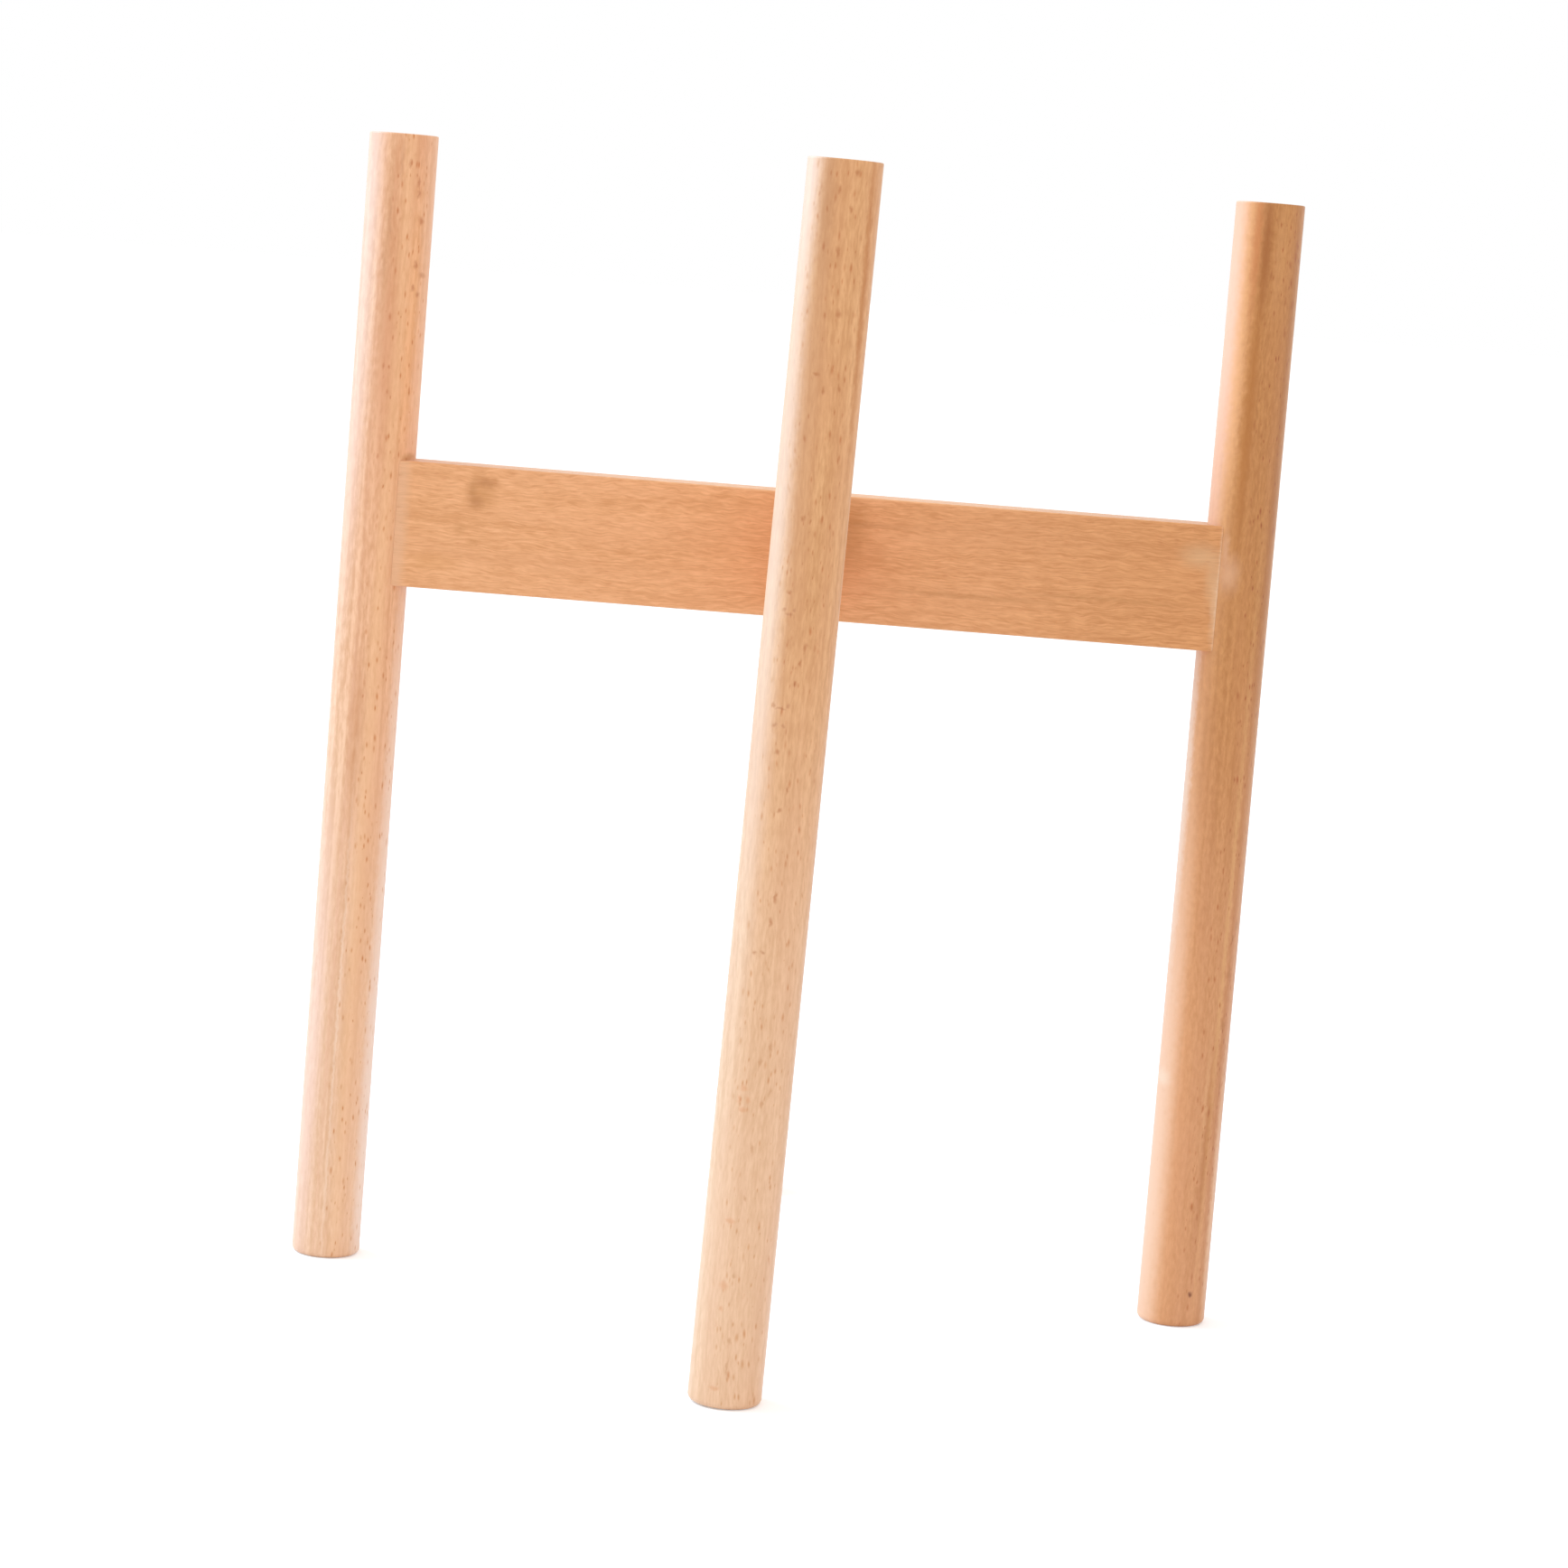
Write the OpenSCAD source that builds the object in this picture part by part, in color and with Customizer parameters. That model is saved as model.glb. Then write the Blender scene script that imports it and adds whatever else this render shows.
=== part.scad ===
// Plant stand in solid beech: four straight round legs and two flat rails.
// Two legs and a rail are glued up as an H-shaped frame. The upper frame's rail drops over the
// lower frame's rail in a halving joint, so the stand comes apart into two flat frames.
// The origin is on the floor under the crossing. +Z is up, the front leg is at -Y and the
// lower frame's legs are at -X (left) and +X (right). All sizes are in millimetres.

/* [Legs] */
// Diameter of the round legs
leg_d = 25; // [22:0.5:32]
// Length of the legs
leg_len = 415; // [360:5:520]
// Distance between the centres of two facing legs
leg_spacing = 316; // [220:2:400]
// Radius of the rounded edge under the feet
foot_round = 2; // [0.5:0.25:4]
// Radius of the eased edge at the leg tops
top_ease = 0.6; // [0.2:0.1:1.5]

/* [Rails] */
// Height of the rails' section
rail_h = 46; // [40:1:60]
// Thickness of the rails
rail_t = 20; // [16:0.5:21.5]
// Height of the rails' top edges above the floor
rail_top = 297; // [120:1:340]
// Radius of the eased long edges of the rails
rail_ease = 0.8; // [0.3:0.1:2]
// Thickness of the glue line between a rail's end and its leg
glue_line = 0.05; // [0.02:0.01:0.1]

/* [Halving joint] */
// Clearance on each face of the halving joint, past what the lean takes up
halving_clear = 0.15; // [0.1:0.05:0.5]
// How far the upper frame leans to the right in the play of the halving joint, in degrees
upper_frame_lean = 1; // [0:0.1:1.5]

/* [Dowel pins] */
// Diameter of the dowel pins
dowel_d = 8; // [6:0.5:10]
// Length of the dowel pins
dowel_len = 40; // [34:1:50]
// Depth to which a dowel pin stands in its leg
dowel_in_leg = 15; // [12:0.5:17]
// Distance between the centres of the two dowel pins of one joint
dowel_pitch = 22; // [18:1:26]
// Width of the chamfer on the ends of the dowel pins
dowel_chamfer = 1; // [0.5:0.1:1.5]
// Number of glue flutes around each dowel pin
flute_count = 12; // [6:1:16]
// Radius of the glue flutes
flute_r = 0.4; // [0.3:0.05:0.6]
// Clearance around a dowel pin in its hole
dowel_fit = 0.05; // [0.02:0.01:0.1]
// Space for glue past each end of a dowel pin
glue_space = 1; // [0.5:0.25:2]

/* [Hidden] */
leg_r = leg_d / 2;
leg_x = leg_spacing / 2;
leg_face_x = leg_x - leg_r;            // where a leg's surface faces the crossing
rail_mid = rail_top - rail_h / 2;      // height of the middle of both rails
slot_depth = rail_h / 2 + halving_clear;
slot_w = rail_t * cos(upper_frame_lean) + slot_depth * sin(upper_frame_lean)
    + 2 * halving_clear;
lean_z = rail_top - slot_depth / 2;    // height about which the upper frame leans
// The leaning legs stand on the edges of their feet, which lifts the upper frame by this much.
lean_lift = (leg_r - foot_round) * sin(upper_frame_lean)
    - (lean_z - foot_round) * (1 - cos(upper_frame_lean));
dowel_end_x = leg_face_x + dowel_in_leg; // outer end of the dowel pins
dowel_hole_d = dowel_d + 2 * dowel_fit;
dowel_hole_len = dowel_len + 2 * glue_space;
past = 1;                              // how far a cutting shape runs past the face it opens

leg_color = "#E3B27E";
rail_color = "#D9A06A";
dowel_color = "#E9C79A";

$fn = 96;
small_fn = 32;

// The two frames are the same shape: one end of a frame is drawn at -X and turned to its place.
to_left = 0;
to_right = 180;
to_front = 90;
to_back = -90;
upper_pin = 1;
lower_pin = -1;

module turned(turn) {
    rotate([0, 0, turn]) children();
}

// Moves a piece of the upper frame to where it stands, leaning in the halving joint.
module leaning() {
    translate([0, 0, lean_z + lean_lift])
        rotate([0, upper_frame_lean, 0])
            translate([0, 0, -lean_z]) children();
}

// Half the section of a leg: a bar with a rounded foot and an eased top edge.
module leg_profile() {
    intersection() {
        square([leg_r, leg_len]);
        union() {
            square([leg_r - foot_round, leg_len / 2]);
            translate([leg_r - foot_round, foot_round]) circle(foot_round, $fn = small_fn);
            translate([0, foot_round]) square([leg_r, leg_len - foot_round - top_ease]);
            translate([leg_r - top_ease, leg_len - top_ease]) circle(top_ease, $fn = small_fn);
            translate([0, leg_len / 2]) square([leg_r - top_ease, leg_len / 2]);
        }
    }
}

// The two holes for the dowel pins of the joint at -X, grown from a pin's place by the play.
module dowel_holes() {
    for (side = [upper_pin, lower_pin])
        translate([-dowel_end_x - glue_space, 0, rail_mid + side * dowel_pitch / 2])
            rotate([0, 90, 0]) cylinder(d = dowel_hole_d, h = dowel_hole_len, $fn = small_fn);
}

// The leg at -X, bored for its two dowel pins from the side that faces the crossing.
module leg() {
    color(leg_color)
        difference() {
            translate([-leg_x, 0, 0]) rotate_extrude() leg_profile();
            dowel_holes();
        }
}

// The rails' section, upright, with eased corners.
module rail_section() {
    inner_t = rail_t - 2 * rail_ease;
    inner_h = rail_h - 2 * rail_ease;
    square([rail_t, inner_h], center = true);
    square([inner_t, rail_h], center = true);
    for (y = [-inner_t / 2, inner_t / 2])
        for (z = [-inner_h / 2, inner_h / 2])
            translate([y, z]) circle(rail_ease, $fn = small_fn);
}

// A rail along X. Its ends are hollowed to the round of the legs and bored for the dowel pins.
// slot_side is 1 for a halving slot that is open at the top and -1 for one open at the bottom.
module rail(slot_side) {
    color(rail_color)
        difference() {
            translate([-leg_x, 0, rail_mid])
                rotate([90, 0, 90]) linear_extrude(leg_spacing) rail_section();
            for (turn = [to_left, to_right])
                turned(turn) {
                    translate([-leg_x, 0, rail_mid - rail_h])
                        cylinder(r = leg_r + glue_line, h = 2 * rail_h);
                    dowel_holes();
                }
            halving_slot(slot_side);
        }
}

// Cuts a little past the middle of the rail, so that the frames stand on their own feet.
module halving_slot(slot_side) {
    reach = slot_depth + past;
    floor_z = rail_mid - slot_side * halving_clear;
    translate([-slot_w / 2, -rail_t, slot_side > 0 ? floor_z : floor_z - reach])
        cube([slot_w, 2 * rail_t, reach]);
}

// A fluted dowel pin of the joint at -X: side is upper_pin or lower_pin.
module dowel_pin(side) {
    tip_d = dowel_d - 2 * dowel_chamfer;
    body_len = dowel_len - 2 * dowel_chamfer;
    color(dowel_color)
        translate([-dowel_end_x, 0, rail_mid + side * dowel_pitch / 2])
            rotate([0, 90, 0])
                difference() {
                    union() {
                        cylinder(d1 = tip_d, d2 = dowel_d, h = dowel_chamfer, $fn = small_fn);
                        translate([0, 0, dowel_chamfer])
                            cylinder(d = dowel_d, h = body_len, $fn = small_fn);
                        translate([0, 0, dowel_len - dowel_chamfer])
                            cylinder(d1 = dowel_d, d2 = tip_d, h = dowel_chamfer, $fn = small_fn);
                    }
                    for (i = [0 : flute_count - 1])
                        rotate([0, 0, (i + 0.5) * 360 / flute_count])
                            translate([dowel_d / 2, 0, -past])
                                cylinder(r = flute_r, h = dowel_len + 2 * past, $fn = 16);
                }
}

module leg_left() { turned(to_left) leg(); }
module leg_right() { turned(to_right) leg(); }
module lower_rail() { rail(1); }
module dowel_left_upper() { turned(to_left) dowel_pin(upper_pin); }
module dowel_left_lower() { turned(to_left) dowel_pin(lower_pin); }
module dowel_right_upper() { turned(to_right) dowel_pin(upper_pin); }
module dowel_right_lower() { turned(to_right) dowel_pin(lower_pin); }

module leg_front() { leaning() turned(to_front) leg(); }
module leg_back() { leaning() turned(to_back) leg(); }
module upper_rail() { leaning() turned(to_front) rail(-1); }
module dowel_front_upper() { leaning() turned(to_front) dowel_pin(upper_pin); }
module dowel_front_lower() { leaning() turned(to_front) dowel_pin(lower_pin); }
module dowel_back_upper() { leaning() turned(to_back) dowel_pin(upper_pin); }
module dowel_back_lower() { leaning() turned(to_back) dowel_pin(lower_pin); }

leg_left();
leg_right();
lower_rail();
dowel_left_upper();
dowel_left_lower();
dowel_right_upper();
dowel_right_lower();
leg_front();
leg_back();
upper_rail();
dowel_front_upper();
dowel_front_lower();
dowel_back_upper();
dowel_back_lower();
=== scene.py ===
"""Plant stand in solid beech: four round legs, and two flat rails that cross in a halving joint."""

from math import hypot, pi, radians

import bpy
from mathutils import Matrix, Vector


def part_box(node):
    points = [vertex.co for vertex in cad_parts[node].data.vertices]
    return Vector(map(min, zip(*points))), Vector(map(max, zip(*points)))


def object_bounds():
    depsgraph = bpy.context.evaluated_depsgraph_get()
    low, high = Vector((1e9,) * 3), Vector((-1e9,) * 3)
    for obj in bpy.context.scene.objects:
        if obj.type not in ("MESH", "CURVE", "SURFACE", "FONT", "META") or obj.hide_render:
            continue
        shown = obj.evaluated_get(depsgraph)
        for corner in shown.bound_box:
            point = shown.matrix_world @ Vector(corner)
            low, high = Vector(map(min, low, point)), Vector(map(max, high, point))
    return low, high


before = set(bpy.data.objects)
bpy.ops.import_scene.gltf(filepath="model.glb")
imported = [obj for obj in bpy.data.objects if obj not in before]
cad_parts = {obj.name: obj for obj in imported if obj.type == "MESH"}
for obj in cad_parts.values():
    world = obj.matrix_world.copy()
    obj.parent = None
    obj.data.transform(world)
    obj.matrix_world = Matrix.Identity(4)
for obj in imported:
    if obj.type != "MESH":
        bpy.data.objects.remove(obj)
cad_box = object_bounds()

MM = 0.001  # a millimetre in metres: patterns and marks are given in millimetres


# ---------------------------------------------------------------------------
# Beech
# ---------------------------------------------------------------------------

# The pattern's cells in mm, across the grain twice and then along it: a cell holds about one patch
WANDER_CELL = (45, 45, 110)
WANDER = 7  # how far the grain wanders at most, from one side to the other
RIPPLE_CELL = (3.5, 3.5, 7)
BAND_CELL = (1.9, 1.9, 90)
CLOUD_CELL = (8, 8, 60)

RING = 3.0  # from one growth ring to the next, in mm
RING_TONE = 0.2  # what the late wood at the end of a ring adds to the tone
EARLY = (0.35, 0.1)  # a place in the ring's width, and the share of that tone there
LATE = (0.86, 1.0)

# Rays: the cell of one ray in mm, round the pith, along the grain and along the radius, then the
# share of the cells that hold hardly a ray, and the largest half size in shares of a cell. The broad
# ones are at most 1.4 mm wide and 5 mm long, and the fine ones 1 mm wide and 3.8 mm long.
RAYS = (((2.1, 7.5, 5), 0.2, 0.34),
        ((1.2, 4.5, 7), 0.25, 0.42))
RAY_LEAST = 0.05  # the least half size, in shares of a cell
RAY_TINT = "#DAA650"  # multiplies the wood's colour under a ray

# Round a bar, the rays show in full where the cosine between the surface's normal and the radius is
# above FACE_ON, and at SIDE_SHARE of their strength where it is below SIDE_ON
FACE_ON = 0.88
SIDE_ON = 0.68
SIDE_SHARE = 0.1

# Most values of a noise lie between these
NOISE_LOW = 0.3
NOISE_HIGH = 0.7

# The noise at which the rosy colour starts, and the one at which it is full
CLOUD_START = 0.4
CLOUD_FULL = 0.65

# A mark has its full strength within MARK_FULL of its half sizes, and is gone at MARK_GONE. Its
# outline is uneven in cells of MARK_CELL, by MARK_UNEVEN at most from side to side, both in mm.
MARK_FULL = 0.1
MARK_GONE = 1.3
MARK_CELL = 2.5
MARK_UNEVEN = 2

# The thin matt clear coat, and the faint sheen of the fibres that stand up in it
FINISH = {"IOR": 1.5, "Specular IOR Level": 0.25, "Coat Weight": 1.0, "Coat Roughness": 0.6,
          "Sheen Weight": 0.1, "Sheen Roughness": 0.3}
ROUGH_LOW = 0.5
ROUGH_HIGH = 0.6

# The grain's relief: its strength, its height, and how deep a ray lies in shares of that height
RELIEF = 0.12
RELIEF_HEIGHT = 0.05 * MM
RAY_DEPTH = -0.6


def srgb(code):
    """A colour written as a web hex code, as the linear values that a shader takes."""
    channels = [int(code[i:i + 2], 16) / 255 for i in (1, 3, 5)]
    return [c / 12.92 if c <= 0.04045 else ((c + 0.055) / 1.055) ** 2.4 for c in channels] + [1]


def add(tree, kind, inputs=None, **settings):
    """Adds one shader node. Each of inputs is a value, or a node or an output to link from."""
    node = tree.nodes.new("ShaderNode" + kind)
    for name, value in settings.items():
        setattr(node, name, value)
    for key, value in (inputs or {}).items():
        if isinstance(value, bpy.types.Node):
            value = value.outputs[0]
        if isinstance(value, bpy.types.NodeSocket):
            tree.links.new(value, node.inputs[key])
        else:
            node.inputs[key].default_value = value
    return node


def new_material(name):
    """A node material with its tree and its Principled shader."""
    material = bpy.data.materials.new(name)
    material.use_nodes = True
    return material, material.node_tree, material.node_tree.nodes["Principled BSDF"]


# Beech, sanded and finished with a thin matt clear coat. The eye gets a warm tan that wanders between
# pink and ochre, fine dashes along the grain, brown flecks where the rays come out, and faint rings.
# The real fibres are 0.02 mm wide, too fine to show, so the dashes come from cells 0.5 to 0.8 mm wide.
def beech(name, centre, grain, depth, light, dark, rosy, dash=0.9, dash_size=(0.8, 5.0),
          flecks=(0.5, 0.35), bands=1.6, clouds=0.4, ripple=0.5, round_bar=False, fade=None, marks=()):
    """A piece's own beech, cut from a log whose pith runs along the grain.

    centre is the piece's centre and depth the pith's place from there, both in mm. light, dark and
    rosy are the wood's colours. dash, flecks, bands and clouds are the strengths of the dashes, of the
    broad and the fine rays, of the bands of tone and of the rosy clouds. dash_size is the width and
    length of a dash's cell, and ripple how far the grain ripples, in mm. fade is an axis, the places in
    metres where a change of colour starts and ends, the colour, and its share over the grain. Each of
    marks is a place on the stand and half sizes in mm, a colour and a strength.
    """
    material, tree, shader = new_material(name)
    where = add(tree, "TexCoord").outputs["Object"]
    turn = {"X": (0, pi / 2, 0), "Y": (-pi / 2, 0, 0), "Z": (0, 0, 0)}[grain]
    piece = add(tree, "Mapping", {"Vector": where, "Location": [c * MM for c in centre],
                                  "Rotation": turn, "Scale": (MM, MM, MM)}, vector_type="TEXTURE")
    log = add(tree, "Mapping", {"Vector": piece, "Location": (-depth[0], -depth[1], 0)})

    # The grain wanders over the length of a piece, and ripples every few millimetres
    slow = add(tree, "Mapping", {"Vector": log, "Scale": [1 / c for c in WANDER_CELL]})
    slow = add(tree, "TexNoise", {"Vector": slow, "Scale": 1.0, "Detail": 1.0})
    bent = add(tree, "VectorMath", {0: slow.outputs["Color"], 1: (WANDER, WANDER, 0), 2: log},
               operation="MULTIPLY_ADD")
    quick = add(tree, "Mapping", {"Vector": bent, "Scale": [1 / c for c in RIPPLE_CELL]})
    quick = add(tree, "TexNoise", {"Vector": quick, "Scale": 1.0, "Detail": 1.0})
    wavy = add(tree, "VectorMath", {0: quick.outputs["Color"], 1: (2 * ripple, 2 * ripple, 0), 2: bent},
               operation="MULTIPLY_ADD")

    # Where a point is in the log: its arc round the pith, its height and its radius
    flat = add(tree, "VectorMath", {0: wavy, 1: (1, 1, 0)}, operation="MULTIPLY")
    radius = add(tree, "VectorMath", {0: flat}, operation="LENGTH").outputs["Value"]
    x, y, height = add(tree, "SeparateXYZ", {0: wavy}).outputs
    angle = add(tree, "Math", {0: y, 1: x}, operation="ARCTAN2")
    arc = add(tree, "Math", {0: angle, 1: hypot(*depth)}, operation="MULTIPLY")
    log_place = add(tree, "CombineXYZ", {0: arc, 1: height, 2: radius})

    # Growth rings, with a thin darker line of late wood at the end of each
    year = add(tree, "Math", {0: radius, 1: 1 / RING}, operation="MULTIPLY")
    year = add(tree, "Math", {0: year}, operation="FRACT")
    late = add(tree, "ValToRGB", {0: year})
    late.color_ramp.elements[0].color = (0, 0, 0, 1)
    late.color_ramp.elements[1].color = (0, 0, 0, 1)
    for place, level in (LATE, EARLY):
        late.color_ramp.elements.new(place).color = (level, level, level, 1)

    # Fine dashes along the grain, three times as deep as they are wide
    wide, long = dash_size
    dashes = add(tree, "Mapping", {"Vector": log_place, "Scale": (1 / wide, 1 / long, 1 / (3 * wide))})
    dashes = add(tree, "TexNoise", {"Vector": dashes, "Scale": 1.0, "Detail": 2.0, "Roughness": 0.6})
    # Long narrow bands of tone, and broader clouds
    band = add(tree, "Mapping", {"Vector": log, "Scale": [1 / c for c in BAND_CELL]})
    band = add(tree, "TexNoise", {"Vector": band, "Scale": 1.0, "Detail": 2.0})
    drift = add(tree, "Mapping", {"Vector": log, "Scale": [1 / c for c in CLOUD_CELL]})
    drift = add(tree, "TexNoise", {"Vector": drift, "Scale": 1.0, "Detail": 2.0})

    # Rays are sheets along the radius, seen end on as brown spindles
    spindles = []
    for (cell, bare, largest), strength in zip(RAYS, flecks):
        rays = add(tree, "Mapping", {"Vector": log_place, "Scale": [1 / c for c in cell]})
        rays = add(tree, "TexVoronoi", {"Vector": rays, "Scale": 1.0, "Randomness": 1.0})
        chance = add(tree, "SeparateColor", {0: rays.outputs["Color"]})
        reach = add(tree, "MapRange", {0: chance, 1: bare, 2: 1.0, 3: RAY_LEAST, 4: largest})
        spindle = add(tree, "Math", {0: rays.outputs["Distance"], 1: reach}, operation="DIVIDE")
        spindle = add(tree, "MapRange", {0: spindle, 1: 1.0, 2: 0.0, 3: 0.0, 4: strength},
                      interpolation_type="SMOOTHSTEP")
        spindles.append(spindle)
    spindle = add(tree, "Math", {0: spindles[0], 1: spindles[1]}, operation="MAXIMUM")
    # Round a bar they show end on only where its surface faces the pith, or faces away from it
    if round_bar:
        across = add(tree, "VectorMath", {0: piece, 1: (1, 1, 0)}, operation="MULTIPLY")
        across = add(tree, "VectorMath", {0: across}, operation="NORMALIZE")
        outward = add(tree, "VectorMath", {0: flat}, operation="NORMALIZE")
        facing = add(tree, "VectorMath", {0: across, 1: outward}, operation="DOT_PRODUCT").outputs["Value"]
        facing = add(tree, "Math", {0: facing}, operation="ABSOLUTE")
        facing = add(tree, "MapRange", {0: facing, 1: SIDE_ON, 2: FACE_ON, 3: SIDE_SHARE, 4: 1.0})
        spindle = add(tree, "Math", {0: spindle, 1: facing}, operation="MULTIPLY")

    # Tone: 0 is the light colour and 1 the dark one
    tone = add(tree, "MapRange", {0: dashes, 1: NOISE_LOW, 2: NOISE_HIGH,
                                  3: 0.5 - 0.5 * dash, 4: 0.5 + 0.5 * dash}, clamp=False)
    tone = add(tree, "Math", {0: late, 1: RING_TONE, 2: tone}, operation="MULTIPLY_ADD")
    sway = add(tree, "Math", {0: band, 1: 0.5}, operation="SUBTRACT")
    tone = add(tree, "Math", {0: sway, 1: bands, 2: tone}, operation="MULTIPLY_ADD", use_clamp=True)
    colour = add(tree, "Mix", {0: tone, 6: srgb(light), 7: srgb(dark)}, data_type="RGBA").outputs[2]
    blush = add(tree, "MapRange", {0: drift, 1: CLOUD_START, 2: CLOUD_FULL, 3: 0.0, 4: clouds})
    colour = add(tree, "Mix", {0: blush, 6: colour, 7: srgb(rosy)}, data_type="RGBA").outputs[2]

    # The colour turns slowly to another along an axis. On the legs this is painted light: paler and
    # veiled towards the foot, for the light that the white floor bounces up. The grain is tinted with it,
    # and then a share of the plain colour lies over the grain.
    if fade:
        axis, start, end, code, share = fade
        there = [f * 2 / (a + b) for f, a, b in zip(srgb(code), srgb(light), srgb(dark))]
        level = add(tree, "SeparateXYZ", {0: where}).outputs[axis]
        level = add(tree, "MapRange", {0: level, 1: start, 2: end, 3: 0.0, 4: 1.0},
                    interpolation_type="SMOOTHSTEP")
        tint = add(tree, "Mix", {0: level, 6: (1, 1, 1, 1), 7: there}, data_type="RGBA").outputs[2]
        colour = add(tree, "Mix", {0: 1.0, 6: colour, 7: tint}, data_type="RGBA",
                     blend_type="MULTIPLY").outputs[2]
        veil = add(tree, "Math", {0: level, 1: share}, operation="MULTIPLY")
        colour = add(tree, "Mix", {0: veil, 6: colour, 7: srgb(code)}, data_type="RGBA").outputs[2]

    # Marks of this piece: soft blots with an uneven outline
    wobble = add(tree, "Mapping", {"Vector": log, "Scale": [1 / MARK_CELL] * 3})
    wobble = add(tree, "TexNoise", {"Vector": wobble, "Scale": 1.0, "Detail": 2.0}).outputs["Color"]
    wobble = add(tree, "VectorMath", {0: wobble, 1: (0.5, 0.5, 0.5)}, operation="SUBTRACT")
    uneven = add(tree, "VectorMath", {0: wobble, 1: [MARK_UNEVEN * MM] * 3, 2: where},
                 operation="MULTIPLY_ADD")
    for spot, half, code, strength in marks:
        ball = add(tree, "Mapping", {"Vector": uneven, "Location": [c * MM for c in spot],
                                     "Scale": [h * MM for h in half]}, vector_type="TEXTURE")
        far = add(tree, "VectorMath", {0: ball}, operation="LENGTH").outputs["Value"]
        blot = add(tree, "MapRange", {0: far, 1: MARK_GONE, 2: MARK_FULL, 3: 0.0, 4: strength},
                   interpolation_type="SMOOTHSTEP")
        colour = add(tree, "Mix", {0: blot, 6: colour, 7: srgb(code)}, data_type="RGBA").outputs[2]

    colour = add(tree, "Mix", {0: spindle, 6: colour, 7: srgb(RAY_TINT)}, data_type="RGBA",
                 blend_type="MULTIPLY").outputs[2]
    tree.links.new(colour, shader.inputs["Base Color"])

    rough = add(tree, "MapRange", {0: dashes, 1: NOISE_LOW, 2: NOISE_HIGH, 3: ROUGH_LOW, 4: ROUGH_HIGH})
    tree.links.new(rough.outputs[0], shader.inputs["Roughness"])
    for socket, value in FINISH.items():
        shader.inputs[socket].default_value = value
    relief = add(tree, "Math", {0: spindle, 1: RAY_DEPTH, 2: dashes}, operation="MULTIPLY_ADD")
    bump = add(tree, "Bump", {"Strength": RELIEF, "Distance": RELIEF_HEIGHT, "Height": relief})
    tree.links.new(bump.outputs[0], shader.inputs["Normal"])
    tree.links.new(bump.outputs[0], shader.inputs["Coat Normal"])
    return material


def specks(face, code, strength, *places):
    """Marks for single rays at y = face on a leg: x, z, half width and half length of each, in mm."""
    deep = 6  # half of the mark's depth in mm, so that it takes in the round of the bar
    return [((x, face, z), (wide, deep, tall), code, strength) for x, z, wide, tall in places]


# What the pieces share. A leg grows paler downwards, between two heights in metres: painted light,
# for the light that the white floor bounces up onto its lower part.
TO_FOOT = ("Z", 0.29, 0.05)
leg_wood = dict(grain="Z", round_bar=True)
upper_leg_wood = dict(leg_wood, light="#E9AC73", dark="#D19158", rosy="#D99563",
                      fade=TO_FOOT + ("#EAB990", 0.4), ripple=0.4, clouds=0.3)
rail_wood = dict(light="#F5B17A", dark="#D99358", rosy="#E6A26E", flecks=(0.1, 0.25),
                 dash=1.0, dash_size=(0.48, 7.0), ripple=1.1, bands=0.8, clouds=0.25)
dowel_wood = dict(light="#F0CBA0", dark="#DDAE7E", rosy="#EBC39A", depth=(5, 60))
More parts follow.
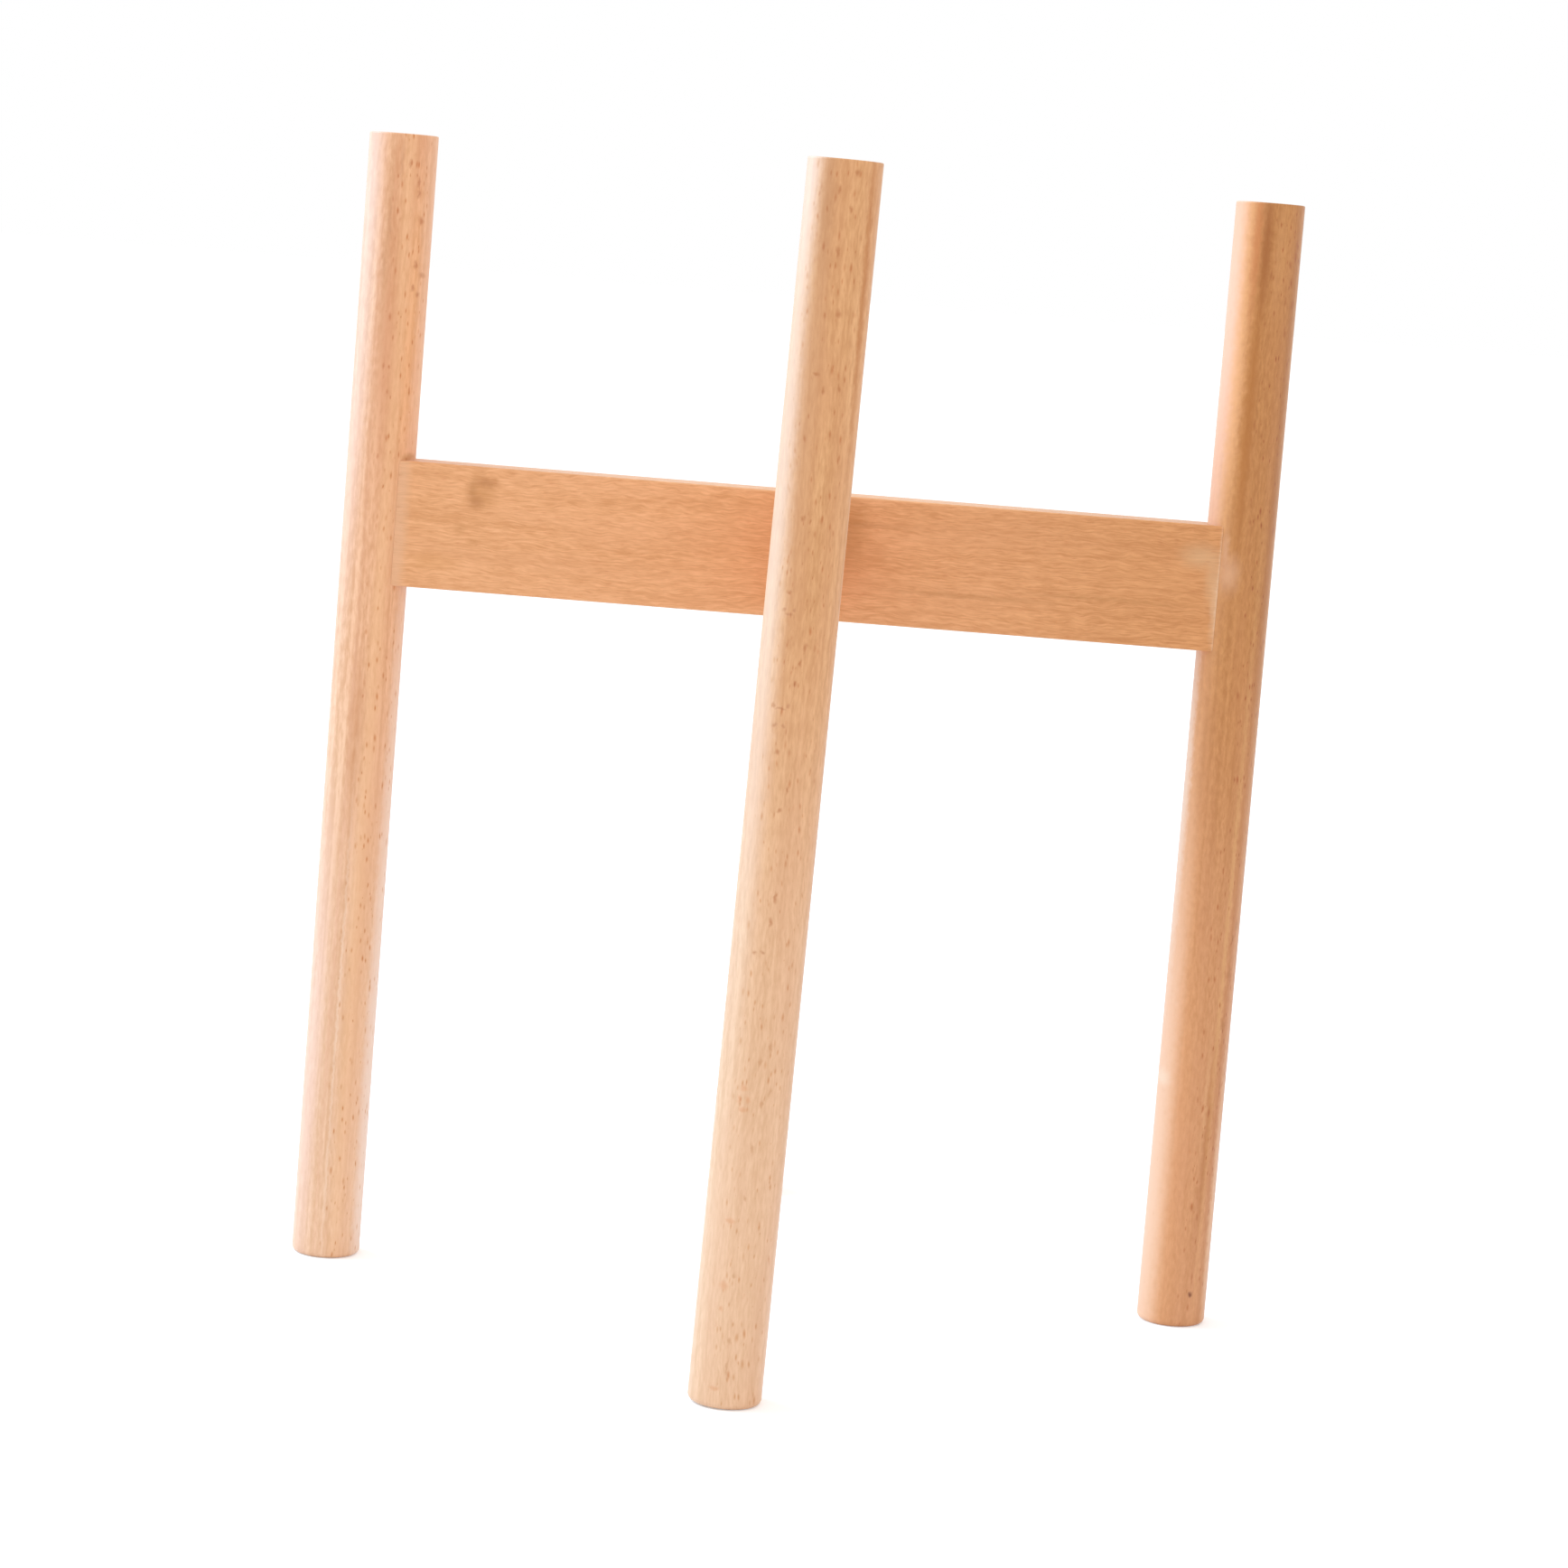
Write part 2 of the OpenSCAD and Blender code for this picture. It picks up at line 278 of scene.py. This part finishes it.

# Each piece's own cut of wood: where the pith lies from its centre, its colours and its marks. The
# marks are placed one by one and tuned to the photograph. The pale ones along the legs' edges stand for
# its glare there, not for paler wood, so they stay on the wood under other light too.
woods = {
    # Glare along both edges, brown bands and short streaks above the rail, one band below it, and a
    # painted shadow line in the corner just above the rail
    "leg_left": dict(
        leg_wood, depth=(-48, 64), light="#F5BA8D", dark="#DA9765", rosy="#E6A278",
        fade=TO_FOOT + ("#EAB78F", 0.4),
        dash=0.8, dash_size=(0.7, 4.5), ripple=0.35, bands=2.2, flecks=(0.8, 0.95),
        marks=[((-145.5, -6, 200), (4.0, 20, 400), "#F7CBA6", 0.5),
               ((-148.5, -12, 272), (4.0, 10, 28), "#F4C093", 0.5),
               ((-154, -11.5, 250), (3.5, 8, 400), "#F6BE88", 0.45),
               ((-160, -12.3, 370), (2.0, 8, 60), "#C98A58", 0.4),
               ((-158.4, -12.4, 90), (0.6, 4, 110), "#FBDCC0", 0.3),
               ((-161.2, -12.0, 150), (0.9, 4, 200), "#DFA07A", 0.4),
               ((-157.5, -12.5, 340), (3.5, 8, 90), "#D48A58", 0.4),
               ((-167.5, -7.5, 350), (6.5, 9, 125), "#FFDED0", 0.32),
               ((-168, -7, 405), (4.5, 8, 45), "#FFE4D8", 0.12),
               ((-167, -8, 70), (4.5, 9, 110), "#EEBFB2", 0.33),
               ((-158.8, -12.3, 195), (3.4, 8, 38), "#C98048", 0.45),
               ((-156.7, -12.4, 405), (0.8, 4, 8), "#C8875A", 0.5),
               ((-159.9, -12.3, 382), (0.8, 4, 9), "#C8875A", 0.4),
               ((-161, -12.0, 367), (0.8, 4, 8), "#C8875A", 0.4),
               ((-149.8, -9.5, 345), (2.6, 6, 60), "#F4B06C", 0.35),
               ((-152, -10.5, 130), (4.0, 10, 150), "#EDB184", 0.4),
               ((-145.8, -5, 60), (2.8, 10, 220), "#F4DCD0", 0.45),
               # painted shade: a thin dark line on the leg just above the rail's top edge, in the corner
               # where they meet
               ((-147.5, -6.5, 298), (3.2, 8, 2), "#BC8040", 0.6)]
        + specks(-9, "#B8642A", 0.65,
                 (-149, 384, 0.9, 1.9), (-149.7, 368, 0.7, 1.9), (-147.4, 364.5, 1.2, 1.2),
                 (-150.3, 359.8, 0.8, 1.6), (-148.3, 357.5, 0.8, 1.2), (-150.4, 398, 0.6, 2.2),
                 (-150.1, 393.5, 0.6, 1.8), (-153.8, 404.3, 0.6, 2.2))),
    # Glare down the left-hand edge, the dark stripe above the joint, brown streaks down the
    # right-hand side, a pale smear at the joint, and a small dark spot near the foot
    "leg_right": dict(
        leg_wood, depth=(-60, 60), light="#CE8B48", dark="#B67230", rosy="#C37E46",
        fade=TO_FOOT + ("#D5935F", 0.4),
        dash=0.85, dash_size=(0.65, 3.5), ripple=0.35, bands=1.2, clouds=0.3, flecks=(0.95, 1.0),
        marks=[((146, -8, 200), (7.0, 20, 400), "#F5B47C", 0.4),
               ((146, -8, 60), (13.0, 20, 150), "#F0A468", 0.45),
               ((146, -8, 60), (6.3, 20, 150), "#FFD8BC", 0.53),
               ((146, -8, 385), (8.5, 20, 100), "#FFB272", 0.65),
               ((146, -8, 365), (4.0, 20, 120), "#FFD4C8", 0.4),
               ((153.2, -11.6, 402), (2.0, 5, 32), "#C86820", 0.4),
               ((145.8, -3, 205), (1.8, 8, 85), "#FFEAD6", 0.5),
               ((150.6, -10, 340), (2.6, 6, 45), "#FFBC84", 0.3),
               ((150.6, -10, 215), (2.2, 8, 35), "#B8743C", 0.25),
               ((156.8, -12.4, 397), (2.6, 6, 28), "#A05600", 0.8),
               ((155.6, -12.3, 335), (2.6, 6, 60), "#B26810", 0.7),
               ((161.8, -12, 397), (2.8, 6, 25), "#DC9C60", 0.35),
               ((168.0, -7.5, 325), (2.5, 4, 125), "#A86010", 0.62),
               ((153.6, -12, 280), (4.8, 8, 8.5), "#E4AC84", 0.55),
               ((151.8, -10.8, 289), (1.5, 5, 7), "#E0A880", 0.5),
               ((147, -5, 92), (3.0, 6, 3.8), "#F8DCC0", 0.48),
               ((167.2, -8.5, 120), (1.7, 4, 160), "#B4661A", 0.5),
               ((165.0, -10.3, 150), (1.0, 4, 150), "#E0A864", 0.35),
               ((164.4, -10.8, 75), (1.6, 5, 38), "#B8702C", 0.45),
               ((162.6, -11.6, 85), (0.9, 4, 30), "#F0BC84", 0.2),
               ((169.2, -5.5, 45), (1.4, 6, 60), "#F0C49C", 0.4),
               ((160, -12, 225), (9.0, 6, 60), "#C07428", 0.15),
               ((163.4, -11.4, 50), (1.7, 4, 38), "#AC6020", 0.35),
               ((163.5, -11.2, 12.6), (0.9, 3, 1.2), "#7A3400", 0.95)]
        + specks(-8, "#A4540A", 0.6,
                 (168.2, 401, 0.7, 2.2), (167.8, 396.5, 0.8, 2.5), (166.2, 392.8, 0.7, 2.0),
                 (167.2, 386.5, 0.7, 2.2), (168.3, 379, 0.8, 2.2), (165.5, 379.9, 0.6, 1.8),
                 (166.2, 369, 0.7, 2.5))
        + specks(-8, "#A4600E", 0.45,
                 (168.7, 150.6, 0.7, 2.5), (167.4, 146, 0.6, 1.8), (167.4, 133, 0.7, 2.8),
                 (166.6, 113, 0.8, 2.6), (167.7, 90.7, 0.6, 2.0))),
    # Glare down the left-hand edge, a brown band above the rail, and ray flecks all the way down
    "leg_front": dict(
        upper_leg_wood, depth=(-5, 80),
        dash=0.85, dash_size=(0.7, 5), bands=1.3, flecks=(0.7, 0.65),
        marks=[((-10.4, -164.5, 320), (6.3, 9, 210), "#FFE0CC", 0.43),
               ((-9.6, -164.5, 412), (7.2, 9, 45), "#FFDECC", 0.32),
               ((-3.5, -169.8, 345), (4.5, 6, 90), "#C98A5A", 0.45),
               ((-2.6, -170, 400), (3.0, 6, 30), "#BC7C48", 0.5),
               ((11.4, -165.4, 370), (1.4, 3, 70), "#BC6C18", 0.65),
               ((10, -167, 80), (4.5, 8, 110), "#C48854", 0.25),
               ((5, -169, 28), (5.0, 6, 40), "#CC9464", 0.22)]
        + specks(-170, "#B86C32", 0.7,
                 (6.4, 411, 0.9, 1.6), (1, 405, 0.9, 1.7), (5, 399, 0.7, 1.3), (2, 385, 0.8, 2.2),
                 (3.7, 365, 0.8, 1.6), (-1.7, 345, 1.3, 0.8), (0.8, 340, 0.6, 1.6),
                 (6, 341, 0.6, 1.4), (-2.4, 298, 0.9, 1.2), (0, 297, 0.6, 1.0),
                 (-4.9, 274, 0.9, 0.9), (1.8, 256, 0.8, 1.9), (0.6, 251, 0.7, 1.2),
                 (-0.5, 244, 0.8, 1.1), (-4.6, 221, 1.0, 1.0), (-0.4, 209, 0.6, 1.4),
                 (-2.2, 202, 0.9, 1.0), (-1.5, 173, 0.6, 2.0), (-2.3, 165, 0.7, 1.6))
        + specks(-170, "#C07C4C", 0.7,
                 (-4.5, 266.6, 1.8, 0.6), (-6.2, 267.8, 0.7, 0.9), (-2.6, 268, 0.7, 0.9),
                 (-4.6, 235.4, 2.2, 0.6), (-7.0, 236.5, 0.8, 0.9), (-2.2, 236.8, 0.8, 0.9),
                 (-6.2, 229.9, 1.0, 0.7), (-3.2, 229.7, 1.0, 0.7), (-6.8, 154, 0.9, 0.8),
                 (-4.2, 154.5, 0.9, 0.8))
        + specks(-170, "#C88854", 0.55,
                 (1, 123, 0.6, 2.0), (-2, 118, 0.6, 1.8), (2, 108, 0.6, 1.8), (-0.5, 104, 0.6, 1.6),
                 (-2.4, 89, 0.7, 2.2), (-3.5, 72, 0.7, 1.3), (-4.8, 46, 0.7, 1.0),
                 (-4.7, 24, 0.8, 1.4), (-4.9, 15, 0.5, 3.5))
        + specks(-170, "#DC905C", 0.5,
                 (-6.6, 109, 1.6, 1.2), (-8, 105, 0.8, 1.5), (-5, 105, 0.8, 1.5),
                 (-6.4, 102, 2.0, 1.0), (-7.6, 64, 2.0, 1.0), (-8.1, 42, 1.8, 1.8),
                 (-8.4, 34.5, 1.0, 1.2), (-8.5, 7.5, 2.0, 0.9))),
    # The photograph hides this leg and the upper rail, so they have no marks
    "leg_back": dict(
        upper_leg_wood, depth=(20, -80),
        dash=0.7, dash_size=(0.8, 6), bands=1.2, flecks=(0.75, 0.5)),
    # Dark veins, the smudge near the left leg, pale smears at both ends, and the front leg's soft shadow
    # painted on the rail just to its right
    "lower_rail": dict(
        rail_wood, grain="X", depth=(10, 75), fade=("X", 0.0, 0.16, "#D68F51", 0.0),
        marks=[((60, -10, 264), (35, 6, 1.4), "#B87838", 0.4),
               ((110, -10, 267), (35, 6, 1.4), "#B87838", 0.35),
               ((20, -10, 287), (25, 6, 1.2), "#C08048", 0.35),
               # painted shadow: the front leg's soft shadow on the rail, just to its right
               ((15, -10, 284), (8, 6, 14), "#B0701E", 0.4),
               ((-119.5, -10, 287.5), (6.5, 8, 7.5), "#CC8848", 0.65),
               ((-118.5, -10, 291.4), (5.0, 8, 2.2), "#B26C2E", 0.55),
               ((-121.5, -10, 283.9), (3.2, 8, 2.8), "#B26C2E", 0.55),
               ((-123.2, -10, 288), (2.2, 8, 5.0), "#B67436", 0.45),
               ((-126.8, -10, 274), (3.6, 8, 2.0), "#C88444", 0.5),
               ((-121.8, -10, 269.2), (2.8, 8, 1.6), "#C88444", 0.45),
               ((-136, -10, 261), (11, 8, 4), "#D8924F", 0.4),
               ((-149.2, -10, 272), (3.8, 10, 60), "#E6B086", 0.6),
               ((143, -10, 285.5), (8.5, 8, 5.5), "#DCAE7E", 0.5),
               ((148.4, -10, 277), (3.5, 8, 11), "#DCAE80", 0.45),
               ((149.6, -10, 266), (1.8, 5, 14), "#E6B98E", 0.45),
               ((150.6, -10, 274), (1.0, 4, 40), "#F0CDAA", 0.45)]),
    "upper_rail": dict(rail_wood, grain="Y", depth=(75, 10)),
}

for name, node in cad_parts.items():
    if name.startswith("dowel"):
        upper = name.startswith(("dowel_front", "dowel_back"))
        look = dict(dowel_wood, grain="Y" if upper else "X")
    else:
        look = woods[name]
    low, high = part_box(name)
    middle = [(a + b) / 2 / MM for a, b in zip(low, high)]
    node.material_slots[0].material = beech("beech " + name.replace("_", " "), middle, **look)


# ---------------------------------------------------------------------------
# Floor, light and camera
# ---------------------------------------------------------------------------

FLOOR_REACH = 30.0  # metres from the stand to the floor's edges
FLOOR_GLOW = 0.3  # brings the floor up to white to the camera and in reflections, and lights nothing


def make_floor():
    """A pale matt floor that the camera sees as white, apart from the stand's soft shadow."""
    foot_z = cad_box[0].z
    signs = ((-1, -1), (1, -1), (1, 1), (-1, 1))
    corners = [(x * FLOOR_REACH, y * FLOOR_REACH, foot_z) for x, y in signs]
    mesh = bpy.data.meshes.new("floor")
    mesh.from_pydata(corners, [], [(0, 1, 2, 3)])
    floor = bpy.data.objects.new("floor", mesh)
    bpy.context.scene.collection.objects.link(floor)
    material, tree, shader = new_material("matt white floor")
    shader.inputs["Base Color"].default_value = srgb("#EDEDED")
    shader.inputs["Roughness"].default_value = 0.9
    shader.inputs["Specular IOR Level"].default_value = 0.0
    path = add(tree, "LightPath")
    seen = add(tree, "Math", {0: path.outputs["Is Camera Ray"], 1: path.outputs["Is Glossy Ray"]},
               operation="MAXIMUM")
    seen = add(tree, "Math", {0: seen, 1: FLOOR_GLOW}, operation="MULTIPLY")
    glow = add(tree, "Emission", {"Strength": seen})
    both = add(tree, "AddShader", {0: shader.outputs[0], 1: glow})
    tree.links.new(both.outputs[0], tree.nodes["Material Output"].inputs["Surface"])
    mesh.materials.append(material)


def make_surroundings():
    """Plain white surroundings, which light the wood evenly from all sides."""
    world = bpy.data.worlds.new("studio")
    bpy.context.scene.world = world
    world.use_nodes = True
    background = world.node_tree.nodes["Background"]
    background.inputs["Color"].default_value = srgb("#FFFFFF")
    background.inputs["Strength"].default_value = 1.0


def make_lamp():
    """A soft box up to the left and a little behind the stand, that faces the middle of the stand.

    Its light is cool, so the side of the wood that it reaches turns pale and pink, not orange.
    """
    stand_middle = Vector((0, 0, 0.2))
    data = bpy.data.lights.new("left key", "AREA")
    data.shape = "RECTANGLE"
    data.size = 1.6
    data.size_y = 1.6
    data.color = srgb("#A4D8FF")[:3]
    data.energy = 56
    lamp = bpy.data.objects.new("left key", data)
    lamp.location = (-1.8, 0.3, 1.7)
    lamp.rotation_euler = (stand_middle - lamp.location).to_track_quat("-Z", "Y").to_euler()
    bpy.context.scene.collection.objects.link(lamp)


def make_camera():
    """The photograph's view: a short telephoto 1.5 m away, just below the leg tops, rolled to the left."""
    data = bpy.data.cameras.new("camera")
    data.sensor_width = 36.0
    data.lens = 95.1
    data.shift_x = -0.0008
    data.shift_y = -0.0960
    data.clip_start = 0.01
    camera = bpy.data.objects.new("camera", data)
    place = (-0.00215, -1.5155, 0.3859)
    yaw, pitch, roll = radians(0.125), radians(5.34), radians(4.594)
    turned = (Matrix.Rotation(yaw, 4, "Z") @ Matrix.Rotation(pi / 2 - pitch, 4, "X")
              @ Matrix.Rotation(roll, 4, "Z"))
    camera.matrix_world = Matrix.Translation(place) @ turned
    bpy.context.scene.collection.objects.link(camera)
    bpy.context.scene.camera = camera


make_floor()
make_surroundings()
make_lamp()
make_camera()
bpy.context.scene.view_settings.view_transform = "Standard"
